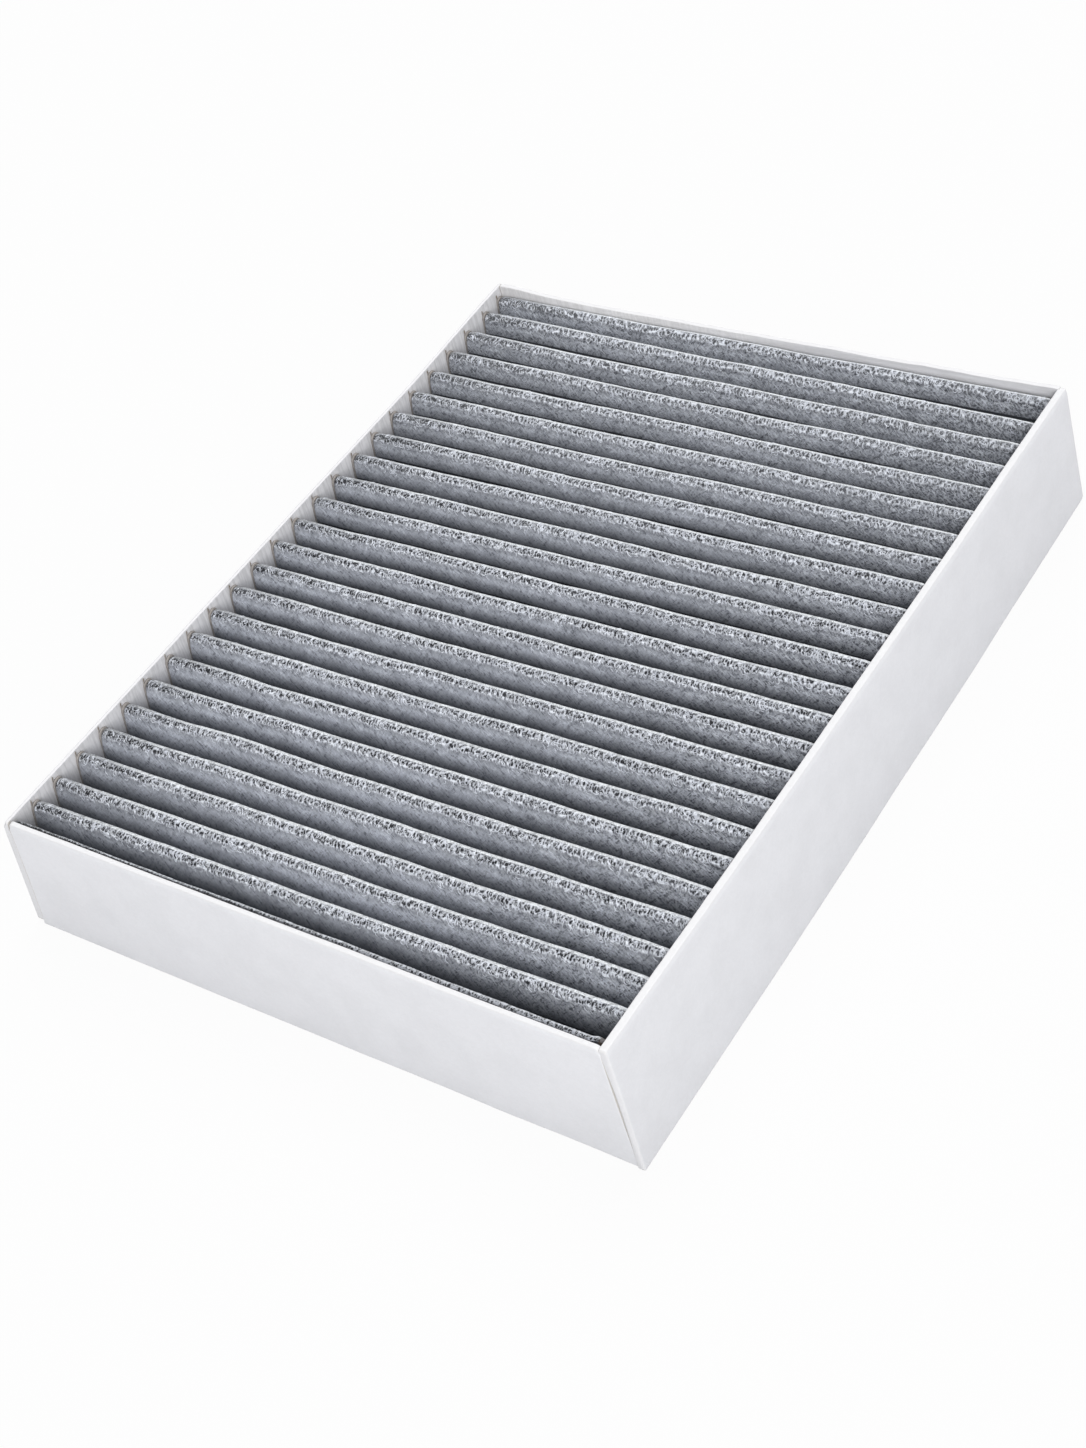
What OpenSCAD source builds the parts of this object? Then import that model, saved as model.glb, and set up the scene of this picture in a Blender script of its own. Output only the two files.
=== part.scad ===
// Pleated cabin air filter: one folded sheet of filter medium, glued into a frame of four
// stiff nonwoven bands that stands open above and below it.
// Millimetres. The origin is the centre of the base. +X runs across the filter, along the
// folds, +Y runs along the filter from the front end to the rear end, and +Z points up.

/* [Frame] */
// Width of the frame, along the folds
frame_w = 195; // [120:1:300]
// Length of the frame, across the folds
frame_l = 250; // [170:1:340]
// Height of the frame
frame_h = 40; // [28:0.5:60]
// Thickness of the stiff nonwoven bands
band_t = 1.5; // [1:0.1:2.5]
// Radius of the softened long edges of the bands
edge_r = 0.4; // [0.1:0.05:0.6]
// Radius of the lower corners of the two side bands
side_corner_r = 1.6; // [0.6:0.1:4]
// Radius of the upper corners of the two end bands
end_corner_r = 1.2; // [0.6:0.1:4]

/* [Medium] */
// Number of crests
pleats = 24; // [10:1:30]
// Thickness of the filter medium
medium_t = 1.2; // [0.7:0.1:1.6]
// Inside radius of each fold
fold_r = 0.6; // [0.5:0.05:1]
// Distance of the crests below the upper edge of the frame
crest_drop = 1.8; // [1:0.1:5]
// Distance of the valleys above the lower edge of the frame
valley_rise = 1.5; // [0.6:0.1:5]
// Gap between the cut front edge of the medium and the front band
edge_gap = 0.5; // [0.3:0.1:1.5]

/* [Hot melt] */
// Thickness of the hot melt behind and beside each pleat end
glue_t = 0.4; // [0.2:0.05:0.45]
// Width of the hot melt tail that runs from each crest towards the rim
tail_w = 0.8; // [0.4:0.1:1.6]
// Distance of the tails below the upper edge of the frame
tail_drop = 0.5; // [0.2:0.1:0.9]
// Height of the strips that hold the first and the last flank to the end bands
strip_h = 9; // [4:0.5:14]
// Distance of those strips below the crests
strip_drop = 4; // [2:0.5:6]

/* [Hidden] */
$fn = 32;
ARC_STEPS = 6;

band_color = [0.93, 0.93, 0.94];
medium_color = [0.46, 0.48, 0.51];
glue_color = [0.72, 0.67, 0.58];

// Inside of the frame
inner_w = frame_w - 2 * band_t;
inner_l = frame_l - 2 * band_t;
medium_w = inner_w - 2 * glue_t;

// The sheet is followed along its middle line from the rear band to the front band, in a
// plane where the first coordinate is the distance from the rear band and the second the
// height. Crests turn about centres at crest_z, valleys about centres at valley_z.
mid_r = fold_r + medium_t / 2;
crest_top = frame_h - crest_drop;
crest_z = crest_top - fold_r - medium_t;
valley_z = valley_rise + fold_r + medium_t;
first_u = glue_t + medium_t + fold_r;
cut_u = inner_l - edge_gap - medium_t / 2;

// Lean of a flank from the vertical, where the line touches both fold circles
function lean_at(pitch) = atan(pitch / 2 / (crest_z - valley_z))
    - asin(2 * mid_r / norm([pitch / 2, crest_z - valley_z]));
// Pitch at which the last flank reaches the height of the crests at cut_u
function next_pitch(a) = (cut_u + mid_r * cos(a)
    - (crest_top - crest_z - mid_r * sin(a)) * tan(a) - first_u) / pleats;
function solve_pitch(pitch, rounds) =
    rounds == 0 ? pitch : solve_pitch(next_pitch(lean_at(pitch)), rounds - 1);

pitch = solve_pitch((cut_u - first_u) / pleats, 6);
lean = lean_at(pitch);

function crest_u(k) = first_u + k * pitch;
function valley_u(k) = crest_u(k) + pitch / 2;
function arc(centre, r, from, to) =
    [for (i = [0 : ARC_STEPS])
        let (t = from + (to - from) * i / ARC_STEPS) centre + r * [cos(t), sin(t)]];

// One crest of a face at radius r. A tail, if it has a width, stands on the crest.
function crest_line(k, r, tail) =
    let (centre = [crest_u(k), crest_z], from = k == 0 ? 180 : 180 - lean,
         foot = asin(tail / 2 / r), tail_top = frame_h - tail_drop)
    tail == 0 ? arc(centre, r, from, lean) : concat(
        arc(centre, r, from, 90 + foot),
        [[crest_u(k) - tail / 2, tail_top], [crest_u(k) + tail / 2, tail_top]],
        arc(centre, r, 90 - foot, lean));
// One valley of a face at radius r
function valley_line(k, r) = arc([valley_u(k), valley_z], r, 180 + lean, 360 - lean);
// Lower end of the first flank, which stands upright, and the cut edge of the last one. A
// bead, whose half thickness is more than the sheet's, stands over both ends as well.
function low_end(side, half) =
    [first_u - mid_r - side * half, valley_z - mid_r + medium_t / 2 - half];
function cut_edge(side, half) =
    [cut_u, crest_top] + (half - medium_t / 2) * [sin(lean), cos(lean)]
    + side * half * [-cos(lean), sin(lean)];
// One face of the sheet: side is 1 for the upper face and -1 for the lower face, and half
// is its distance from the middle line
function face_line(side, half, tail) = concat(
    [low_end(side, half)],
    [for (k = [0 : pleats - 1]) each concat(
        crest_line(k, mid_r + side * half, tail),
        valley_line(k, mid_r - side * half))],
    [cut_edge(side, half)]);
function reverse(list) = [for (i = [len(list) - 1 : -1 : 0]) list[i]];

// The folded sheet seen from its end, or the bead round it with a tail on each crest
module fold_section(half, tail = 0)
    polygon(concat(face_line(1, half, tail), reverse(face_line(-1, half, 0))));

// Turns a section in distance and height into a body that spans from x0 to x1
module along_width(x0, x1)
    translate([x1, inner_l / 2, 0])
        rotate([90, 0, -90])
            linear_extrude(height = x1 - x0) children();

// What is cut away to round one corner of a rectangle
module corner_cut(r)
    difference() {
        translate([-1, -1]) square(r + 1);
        translate([r, r]) circle(r);
    }

// Rectangle with its first corner at the origin, with lower and upper corners rounded
module rounded(w, h, lower_r, upper_r)
    difference() {
        square([w, h]);
        for (m = [0, 1]) translate([m * w, 0]) mirror([m, 0]) {
            corner_cut(lower_r);
            translate([0, h]) mirror([0, 1]) corner_cut(upper_r);
        }
    }

// A band that stands on the base along X, with its inner face at y = 0 and its outer face
// at y = band_t: a die-cut outline whose long edges are softened
module band(length, lower_r, upper_r)
    intersection() {
        translate([-length / 2, band_t, 0])
            rotate([90, 0, 0])
                linear_extrude(height = band_t) rounded(length, frame_h, lower_r, upper_r);
        translate([length / 2, 0, 0])
            rotate([90, 0, 90]) mirror([0, 0, 1])
                linear_extrude(height = length) rounded(band_t, frame_h, edge_r, edge_r);
    }

module side_band()
    color(band_color)
        translate([inner_w / 2, 0, 0])
            rotate([0, 0, -90]) band(frame_l, side_corner_r, edge_r + 0.1);

module end_band()
    color(band_color)
        translate([0, inner_l / 2, 0]) band(inner_w, edge_r + 0.1, end_corner_r);

// Hot melt at the ends of the pleats against one side band: a bead that follows the whole
// fold line, kept inside the frame, with a tail above each crest
module pleat_glue()
    color(glue_color)
        along_width(medium_w / 2, inner_w / 2)
            intersection() {
                fold_section(medium_t / 2 + glue_t, tail_w);
                square([inner_l, frame_h]);
            }

module pleated_medium()
    color(medium_color)
        along_width(-medium_w / 2, medium_w / 2)
            fold_section(medium_t / 2);

module left_side_band() mirror([1, 0, 0]) side_band();
module right_side_band() side_band();
module front_end_band() mirror([0, 1, 0]) end_band();
module rear_end_band() end_band();
module left_pleat_glue() mirror([1, 0, 0]) pleat_glue();
module right_pleat_glue() pleat_glue();

// Hot melt between the leaning last flank and the front band
strip_top = crest_top - strip_drop;
function flank_u(z) = cut_u + medium_t / 2 / cos(lean) - (crest_top - z) * tan(lean);
module front_glue_strip()
    color(glue_color)
        along_width(-medium_w / 2, medium_w / 2)
            polygon([[inner_l, strip_top], [inner_l, strip_top - strip_h],
                     [flank_u(strip_top - strip_h), strip_top - strip_h],
                     [flank_u(strip_top), strip_top]]);

// Hot melt between the upright first flank and the rear band
module rear_glue_strip()
    color(glue_color)
        along_width(-medium_w / 2, medium_w / 2)
            translate([0, strip_top - strip_h]) square([glue_t, strip_h]);

pleated_medium();
left_side_band();
right_side_band();
front_end_band();
rear_end_band();
left_pleat_glue();
right_pleat_glue();
front_glue_strip();
rear_glue_strip();
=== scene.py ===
import math

import bpy
import numpy as np
from bpy.props import FloatProperty, FloatVectorProperty, IntProperty, PointerProperty
from bpy.types import Operator, Panel, PropertyGroup
from mathutils import Matrix, Vector


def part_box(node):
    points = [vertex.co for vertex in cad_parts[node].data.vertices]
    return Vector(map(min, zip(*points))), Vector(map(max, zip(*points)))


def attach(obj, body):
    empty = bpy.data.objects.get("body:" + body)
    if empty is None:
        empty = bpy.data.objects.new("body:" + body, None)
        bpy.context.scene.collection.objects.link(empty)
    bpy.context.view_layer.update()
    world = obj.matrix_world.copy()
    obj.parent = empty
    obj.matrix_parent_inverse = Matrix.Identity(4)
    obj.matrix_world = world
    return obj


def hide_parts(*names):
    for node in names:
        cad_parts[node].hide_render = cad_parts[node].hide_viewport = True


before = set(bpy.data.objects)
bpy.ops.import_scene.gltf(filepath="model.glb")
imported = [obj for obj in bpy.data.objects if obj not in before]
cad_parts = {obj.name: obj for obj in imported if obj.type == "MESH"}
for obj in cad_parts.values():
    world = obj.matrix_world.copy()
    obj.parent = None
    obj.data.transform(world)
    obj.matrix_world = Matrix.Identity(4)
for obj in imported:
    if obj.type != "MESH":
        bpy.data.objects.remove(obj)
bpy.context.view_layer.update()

bl_info = {
    "name": "Pleated Cabin Air Filter",
    "version": (1, 0, 0),
    "blender": (4, 5, 0),
    "location": "3D View > Sidebar > Filter",
    "description": "Dresses the filter's frame, pleats and hot melt and sets up a plain studio",
    "category": "Object",
}

MM = 0.001
PHOTO_SIZE = (1086, 1448)
BODY = "root"
BLACK = (0, 0, 0)
CAP = np.array([0.16, 0.36, 0.6, 0.84])     # shares of the way across the sheet's cut edge

# Places that the construction gives, in metres
INNER_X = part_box("right_side_band")[0].x
INNER_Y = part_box("rear_end_band")[0].y
RIM_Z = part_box("right_side_band")[1].z
MEDIUM_LOW, MEDIUM_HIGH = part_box("pleated_medium")
BAND_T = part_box("right_side_band")[1].x - INNER_X


def size(name, about, default, low=0.0, high=1.0):
    """A length that a user can change, in metres."""
    return FloatProperty(name=name, description=about, default=default, min=low, max=high,
                         subtype="DISTANCE", unit="LENGTH", precision=5)


def share(name, about, default, low=0.0, high=1.0):
    """A plain factor that a user can change."""
    return FloatProperty(name=name, description=about, default=default, min=low, max=high)


def colour(name, about, default):
    """A linear colour that a user can change."""
    return FloatVectorProperty(name=name, description=about, default=default, min=0.0, max=1.0,
                               size=3, subtype="COLOR")


def corners(name, about, values):
    """Four lengths at the corners of the frame, given in millimetres."""
    return FloatVectorProperty(name=name, description=about, size=4, precision=5,
                               default=[v * MM for v in values], unit="LENGTH")


class FilterFrameSettings(PropertyGroup):
    """How the four nonwoven bands stand and what they look like."""
    edge_radius: size("Edge radius", "Rounding of the long edges of a band", 0.28 * MM)
    pressed_height: size("Pressed height", "Height of the pressed strip below the rim", 1.3 * MM)
    pressed_depth: size("Pressed depth", "How far that strip leans in", 0.3 * MM)
    lower_corner: size("Lower corner", "Radius of the side bands' lower corners", 1.7 * MM)
    near_corner: size("Near corner", "The same for the right band's front end", 0.5 * MM)
    turned_edge: size("Turned edge", "Rounding of the side bands' upright end edges", 0.5 * MM)
    upper_corner: size("Upper corner", "Radius of the bands' upper corners", 1.3 * MM)
    sharp_corner: size("Sharp corner", "The same at the rear end", 0.35 * MM)
    end_edge: size("End edge", "Rounding of a cut end's outer edge", 0.2 * MM)
    end_reach: size("End reach", "How far the right band's foot reaches in front", 0.8 * MM)
    side_rim: corners("Side rim", "Outward shift of the sides' rims: left front, left rear, "
                      "right front, right rear", (-1.2, -0.8, -1.1, -0.35))
    side_foot: corners("Side foot", "The same for the sides' feet", (2.6, 1.6, 2.35, 1.5))
    end_rim: corners("End rim", "Outward shift of the ends' rims: front left, front right, "
                     "rear left, rear right", (-1.7, -0.75, -0.95, 0.4))
    end_foot: corners("End foot", "The same for the ends' feet", (0.8, 1.85, 1.2, 1.2))
    rear_bow: size("Rear bow", "How far the middle of the rear end bows in", 0.4 * MM)
    thick_rim: size("Thick rim", "How much thicker the right band is at its rim", 0.6 * MM)
    right_bow: size("Right bow", "How far the middle of the right side bows out", 0.7 * MM)
    rear_wave: size("Rear rim wave", "Height of the waves in the rear band's rim", 0.35 * MM)
    seam_gap: size("Seam gap", "Widest gap between an end band and a side band", 0.45 * MM)
    seam_depth: size("Seam depth", "Depth of that gap", 0.6 * MM)
    left_edge: size("Left edge", "Rounding of the left band's outer upper edge", 0.6 * MM)
    left_rim: size("Left rim", "How much thinner the left band is at its rim", 0.22 * MM)
    swell: size("Swell", "How much thicker the left band's front end is", 0.8 * MM)
    corner_lift: size("Corner lift", "How far the left rim rises at the rear corner", 1.3 * MM)
    outside: colour("Outside", "Colour of the calendered outer faces", (0.805, 0.81, 0.838))
    inside: colour("Inside", "Colour of the inner faces", (0.88, 0.875, 0.895))
    rim: colour("Rim", "Colour of the pressed rim", (0.795, 0.795, 0.81))
    # Painted shade on the left rim's rounded outer edge.
    lip_shade: colour("Lip", "Colour of the left rim's outer edge", (0.52, 0.53, 0.57))
    seam: colour("Seam", "Colour of the glued faces inside the seams", (0.59, 0.57, 0.54))


class FilterMediumSettings(PropertyGroup):
    """The folded sheet: its folds as built, how they wander, and its fibres."""
    pleats: IntProperty(name="Crests", description="Number of crests", default=24, min=2, max=60)
    thickness: size("Thickness", "Thickness of the sheet", 1.2 * MM)
    fold_radius: size("Fold radius", "Inside radius of each fold", 0.6 * MM)
    glue_gap: size("Glue gap", "Gap between the sheet and the rear and side bands", 0.4 * MM)
    edge_gap: size("Edge gap", "Gap between the cut edge and the front band", 0.5 * MM)
    wander: size("Wander", "How far a crest wanders along the filter", 0.3 * MM)
    drift: FloatVectorProperty(
        name="Drift", description="How far the crests lie towards the rear, at four places from "
        "the front to the rear along the left side and then along the right side",
        default=[v * MM for v in (-1.8, -1.75, -0.4, 1.5, 0.1, -0.05, 0.8, -0.3)], size=8,
        precision=5, unit="LENGTH")
    last_crest: size("Last crest", "How far the front crest lies back, and the right end of "
                     "the one behind it", 0.8 * MM)
    lift: size("Lift", "How much the height of a crest varies", 0.18 * MM)
    bulge: size("Bulge", "How far the flanks bulge", 0.35 * MM)
    end_dip: size("End dip", "How far a crest drops at its glued ends", 0.4 * MM)
    end_curve: size("End curve", "How far a crest draws in at its glued ends", 0.28 * MM)
    edge_rise: size("Edge rise", "How far the cut edge stands above the crests", 1.1 * MM)
    edge_tilt: size("Edge tilt", "How much higher it stands at the right", 0.38 * MM)
    edge_fluff: share("Edge fluff", "How much thicker the sheet is at the right end of its "
                      "cut edge", 0.42)
    edge_skew: size("Edge skew", "How much nearer the front band it stands at the right",
                    0.35 * MM)
    columns: IntProperty(name="Columns", description="Grid cells across the sheet", default=64,
                         min=10, max=200)
    # Painted shade: the depth below a fold at which the flanks' painted shade turns black, at the
    # front end and at the rear end.
    black_shade_front: size("Dark depth in front", "How far below a fold the sheet is black, at the "
                     "front end", 13.2 * MM)
    black_shade_rear: size("Dark depth at the rear", "The same at the rear end", 6.9 * MM)
    curls: IntProperty(name="Curls", description="Number of pale fibre curls at the crests",
                       default=6800, min=0, max=7600)
    curl_width: size("Curl width", "Half width of a curl", 0.17 * MM)
    curl_height: size("Curl height", "How far a curl stands out of the sheet", 0.15 * MM)
    flank: colour("Flank", "Colour of the flanks", (0.58, 0.606, 0.677))
    # Used for dark fibres and cloudy patches, and as the painted shade on the flanks far below
    # the crests.
    deep: colour("Deep", "Colour of the flanks far below the crests", (0.05, 0.054, 0.065))
    fibre: colour("Fibre", "Colour of the pale fibres at the folds", (0.85, 0.885, 0.95))
    carbon: colour("Carbon", "Colour of the grains between the fibres", (0.025, 0.026, 0.03))


class FilterGlueSettings(PropertyGroup):
    """Hot melt at the pleat ends and behind the end flanks."""
    bead: size("Bead", "How far the bead stands out beside the sheet", 0.10 * MM)
    depth: size("Depth", "Thickness of the hot melt between band and pleat ends", 0.4 * MM)
    tail_width: size("Tail width", "Width of the tails that reach the rim", 0.32 * MM)
    tint: colour("Hot melt", "Colour of the hot melt", (0.27, 0.25, 0.235))
    burnt: colour("Tail ends", "Colour of the tails at the rim", (0.16, 0.125, 0.09))


class FilterStudioSettings(PropertyGroup):
    """Camera, floor and lamps."""
    place: FloatVectorProperty(name="Camera place", description="Where the camera stands",
                               default=(0.3438, -0.3617, 0.4616), subtype="TRANSLATION",
                               unit="LENGTH", size=3)
    aim: FloatVectorProperty(name="Camera aim", description="Point the camera looks at",
                             default=(0.0104, -0.0248, 0.020), subtype="TRANSLATION",
                             unit="LENGTH", size=3)
    roll: FloatProperty(name="Camera roll", description="Turn about the line of sight",
                        default=math.radians(-17.42), subtype="ANGLE", unit="ROTATION")
    focal_px: share("Focal length", "Focal length in pixels of the photograph", 2392.2, 100, 9000)
    ambient: share("Ambient", "Strength of the surrounding light", 0.5, 0, 5)
    key: share("Key", "Power of the large lamp in front on the right, in watts", 69.0, 0, 500)
    top: share("Top", "Power of the large lamp above, in watts", 50.0, 0, 500)


# Shapes as whole arrays


def smooth_noise(x, y, cell, seed):
    """Heights from -1 to 1 on a square lattice with that cell, drawn once from the seed and
    blended between four neighbours by the smoothstep of the place within the cell."""
    lattice = np.random.default_rng(seed).uniform(-1, 1, (64, 64))
    gx, gy = np.broadcast_arrays(np.asarray(x) / cell, np.asarray(y) / cell)
    ix, iy = np.floor(gx).astype(int), np.floor(gy).astype(int)
    fx, fy = gx - ix, gy - iy
    fx, fy = fx * fx * (3 - 2 * fx), fy * fy * (3 - 2 * fy)
    ax, bx, ay, by = ix % 64, (ix + 1) % 64, iy % 64, (iy + 1) % 64
    low = lattice[ax, ay] * (1 - fx) + lattice[bx, ay] * fx
    high = lattice[ax, by] * (1 - fx) + lattice[bx, by] * fx
    return low * (1 - fy) + high * fy


def double_noise(x, y, cell, fine, share_fine, seed):
    """Smooth noise of that cell and a share of a finer one, drawn from the next seed."""
    return smooth_noise(x, y, cell, seed) + share_fine * smooth_noise(x, y, fine, seed + 1)


def smoothstep(value, low, high):
    """0 below low, 1 above high, and 3t^2 - 2t^3 of the share t of the way between them."""
    t = np.clip((value - low) / (high - low), 0, 1)
    return t * t * (3 - 2 * t)


def stand(points):
    """The frame as it stands. In plan, each side and each end shifts outwards by a length
    that runs linearly along it from corner to corner and up it from foot to rim, and that
    fades linearly to the middle of the frame; the middle of the right side bows out and that
    of the rear end bows in by a half sine."""
    s = bpy.context.scene.filter_frame
    out = np.array(points, float)
    past = 1.05     # just past the outer faces, as a share of the half length or width
    along_x = np.clip(out[..., 0] / INNER_X, -past, past)
    along_y = np.clip(out[..., 1] / INNER_Y, -past, past)
    up = out[..., 2] / RIM_Z

    def shift(rim, foot, first, share_second):
        at = [foot[first + i] + (rim[first + i] - foot[first + i]) * up for i in (0, 1)]
        return at[0] + (at[1] - at[0]) * share_second

    far, right = (along_y + 1) / 2, (along_x + 1) / 2
    side = np.where(along_x < 0, shift(s.side_rim, s.side_foot, 0, far),
                    shift(s.side_rim, s.side_foot, 2, far)
                    + s.right_bow * np.cos(along_y * math.pi / (2 * past)))
    end = np.where(along_y < 0, shift(s.end_rim, s.end_foot, 0, right),
                   shift(s.end_rim, s.end_foot, 2, right)
                   - s.rear_bow * np.cos(along_x * math.pi / (2 * past)))
    out[..., 0] += side * along_x
    out[..., 1] += end * along_y
    return out


def quads(rows, columns):
    """The four corners of each cell of a grid of points, counted row by row."""
    first = (np.arange(rows - 1)[:, None] * columns + np.arange(columns - 1)).reshape(-1, 1)
    return first + np.array([0, 1, columns + 1, columns])


def ring_quads(rows, columns):
    """The same for a grid whose columns close to a ring."""
    row = np.arange(rows - 1)[:, None, None] * columns
    here = np.arange(columns)[None, :, None]
    after = (here + 1) % columns
    return np.concatenate([row + here, row + after, row + columns + after,
                           row + columns + here], 2).reshape(-1, 4)


def make_mesh(name, points, faces, uv=None, attributes=None, flat=()):
    """A mesh of those points and faces, in metres. faces is a list of whole arrays of quads
    or triangles, of which those numbered in flat are shaded flat. If its signed volume, a
    sixth of the sum of the corner triple products, is negative, every face is turned round."""
    points = np.ascontiguousarray(points, float).reshape(-1, 3)
    triangles = np.concatenate([np.concatenate([f[:, [0, i, i + 1]]
                                for i in range(1, f.shape[1] - 1)]) for f in faces])
    a, b, c = (points[triangles[:, i]] for i in range(3))
    if np.einsum("ij,ij->i", a, np.cross(b, c)).sum() < 0:
        faces = [f[:, ::-1] for f in faces]
    corners = np.concatenate([f.ravel() for f in faces])
    counts = np.concatenate([np.full(len(f), f.shape[1]) for f in faces])
    mesh = bpy.data.meshes.new(name)
    mesh.vertices.add(len(points))
    mesh.vertices.foreach_set("co", points.ravel())
    mesh.loops.add(len(corners))
    mesh.loops.foreach_set("vertex_index", corners.astype(np.int32))
    mesh.polygons.add(len(counts))
    mesh.polygons.foreach_set("loop_start", (np.cumsum(counts) - counts).astype(np.int32))
    smooth = np.concatenate([np.full(len(f), i not in flat) for i, f in enumerate(faces)])
    mesh.polygons.foreach_set("use_smooth", smooth)
    if uv is not None:
        layer = mesh.uv_layers.new(name="sheet")
        layer.data.foreach_set("uv", np.asarray(uv)[corners].astype(np.float32).ravel())
    for key, values in (attributes or {}).items():
        data = mesh.attributes.new(key, "FLOAT", "POINT").data
        data.foreach_set("value", np.asarray(values, np.float32).ravel())
    mesh.update(calc_edges=True)
    mesh.validate()
    return mesh


def add_piece(mesh, material, slot, *nodes):
    """Links the mesh as a piece of the object that stands for those nodes."""
    piece = bpy.data.objects.new(mesh.name, mesh)
    bpy.context.scene.collection.objects.link(piece)
    mesh.materials.append(material)
    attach(piece, BODY)
    if nodes:
        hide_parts(*nodes)
    return piece


def tubes(name, rings, attributes=None):
    """One mesh of closed tubes, from an array of tubes by stations by ring points by three,
    with a fan of triangles about the middle of the first and last ring of each tube."""
    count, stations, around = rings.shape[:3]
    caps = rings[:, [0, -1]].mean(2)
    points = np.concatenate([rings.reshape(count, -1, 3), caps], 1)
    here = np.arange(around)
    after = (here + 1) % around
    last, middle = (stations - 1) * around, stations * around
    fans = np.concatenate([np.stack([after, here, np.full(around, middle)], 1),
                           np.stack([last + here, last + after,
                                     np.full(around, middle + 1)], 1)])
    first = (np.arange(count) * (middle + 2))[:, None, None]
    walls = (first + ring_quads(stations, around)).reshape(-1, 4)
    attributes = {key: np.concatenate([value.reshape(count, -1), value[:, 0].mean(1)[:, None],
                                       value[:, -1].mean(1)[:, None]], 1)
                  for key, value in (attributes or {}).items()}
    return make_mesh(name, points, [walls, (first + fans).reshape(-1, 3)], None, attributes,
                     flat=(1,))


# Materials


class Shade:
    """Builds the nodes of a material or a world. Calling it adds a node, sets its properties
    and inputs, and links each input that is a socket."""

    def __init__(self, owner):
        self.owner = owner
        owner.use_nodes = True
        self.tree = owner.node_tree
        self.tree.nodes.clear()

    def __call__(self, kind, inputs=None, **properties):
        node = self.tree.nodes.new(kind)
        for key, value in properties.items():
            setattr(node, key, value)
        for key, value in (inputs or {}).items():
            if isinstance(value, bpy.types.NodeSocket):
                self.tree.links.new(value, node.inputs[key])
            else:
                node.inputs[key].default_value = value
        return node

    def math(self, operation, a, b=0.0, c=0.0):
        """One sum of sockets or numbers."""
        return self("ShaderNodeMath", {0: a, 1: b, 2: c}, operation=operation).outputs[0]

    def times(self, a, b):
        """The product of two."""
        return self.math("MULTIPLY", a, b)

    def larger(self, a, b):
        """The larger of two."""
        return self.math("MAXIMUM", a, b)

    def ramp(self, value, low, high, to_low=0.0, to_high=1.0, kind="SMOOTHSTEP"):
        """A smoothstep of the value from low to high, or a straight ramp, mapped onto to_low
        to to_high."""
        return self("ShaderNodeMapRange", {"Value": value, "From Min": low, "From Max": high,
                                           "To Min": to_low, "To Max": to_high},
                    interpolation_type=kind).outputs["Result"]

    def fade(self, value, low, high, start=1.0):
        """The same from start down to 0."""
        return self.ramp(value, low, high, start, 0.0)

    def mix(self, factor, a, b):
        """Two colours, as sockets or as three numbers, mixed by a factor."""
        a, b = (v if isinstance(v, bpy.types.NodeSocket) else (*v, 1.0) for v in (a, b))
        return self("ShaderNodeMix", {0: factor, 6: a, 7: b}, data_type="RGBA").outputs[2]

    def over(self, base, *layers):
        """The base with the colour of each layer laid over it in turn by the layer's factor."""
        for factor, tone in layers:
            base = self.mix(factor, base, tone)
        return base

    def noise(self, vector, scale, detail=2.0, rough=0.5, distort=0.0):
        """Noise of that scale per metre."""
        return self("ShaderNodeTexNoise", {"Vector": vector, "Scale": scale, "Detail": detail,
                                           "Roughness": rough, "Distortion": distort}
                    ).outputs["Fac"]

    def mapped(self, vector, scale, turn=0.0, kind="POINT"):
        """The place with each part times its own scale or, for TEXTURE, turned back in the
        plane by that angle and then divided by the scale."""
        return self("ShaderNodeMapping", {"Vector": vector, "Scale": scale,
                                          "Rotation": (0, 0, turn)},
                    vector_type=kind).outputs["Vector"]

    def attribute(self, name):
        """A number stored on the mesh's points."""
        return self("ShaderNodeAttribute", attribute_name=name).outputs["Fac"]

    def bump(self, height, distance, strength=1.0, normal=None):
        """A bump of that height times that distance in metres."""
        inputs = {"Height": height, "Distance": distance, "Strength": strength}
        if normal is not None:
            inputs["Normal"] = normal
        return self("ShaderNodeBump", inputs).outputs["Normal"]

    def finish(self, base, roughness, normal=None, **fixed):
        """Closes the material with a principled surface."""
        inputs = {"Base Color": base, "Roughness": roughness, **fixed}
        if normal is not None:
            inputs["Normal"] = normal
        surface = self("ShaderNodeBsdfPrincipled", inputs)
        self("ShaderNodeOutputMaterial", {"Surface": surface.outputs[0]})
        return self.owner


def shade(name):
    """The builder of a new material."""
    return Shade(bpy.data.materials.new(name))


def darker(tone, factor):
    """A colour times a factor, which may be above 1."""
    return [factor * v for v in tone]


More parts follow.
